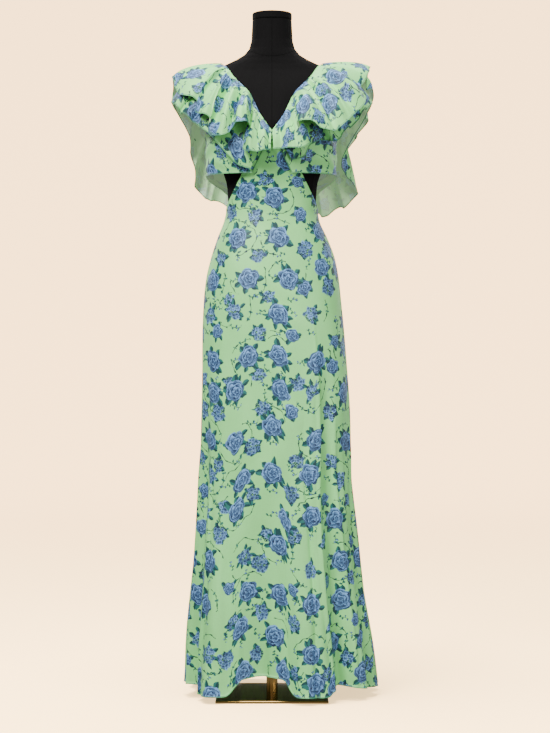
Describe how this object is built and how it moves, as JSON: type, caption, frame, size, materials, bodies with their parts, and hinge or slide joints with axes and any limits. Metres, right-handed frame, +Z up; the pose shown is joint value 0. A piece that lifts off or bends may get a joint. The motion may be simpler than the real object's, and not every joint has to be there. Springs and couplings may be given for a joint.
{
  "type": "maxi dress on dress form",
  "caption": "Floor-length V-neck dress with flounced collar, waist cut-outs and a fluted skirt, on a limbless form with a pole and a square base.",
  "frame": {"origin": "centre of the base plate's underside, on the pole's axis", "axes": "+Z up along the pole, -Y is the way the wearer would face, +X to the wearer's left"},
  "size_m": [0.4976, 0.3953, 1.616],
  "materials": {
    "printed_cloth": "light woven cloth with a soft sheen, printed all over",
    "form_cloth": "matt black jersey cover",
    "brass": "polished"
  },
  "bodies": {
    "root": {"base_plate": "brass", "pole": "brass", "form_torso": "form_cloth", "neck_cap": "form_cloth", "skirt_front": "printed_cloth", "skirt_back": "printed_cloth", "bodice_front_left": "printed_cloth", "bodice_front_right": "printed_cloth", "bodice_back_left": "printed_cloth", "bodice_back_right": "printed_cloth", "upper_tier_front_left": "printed_cloth", "upper_tier_front_right": "printed_cloth", "upper_tier_back_left": "printed_cloth", "upper_tier_back_right": "printed_cloth", "lower_tier_front_left": "printed_cloth", "lower_tier_front_right": "printed_cloth", "lower_tier_back_left": "printed_cloth", "lower_tier_back_right": "printed_cloth"}
  },
  "joints": []
}
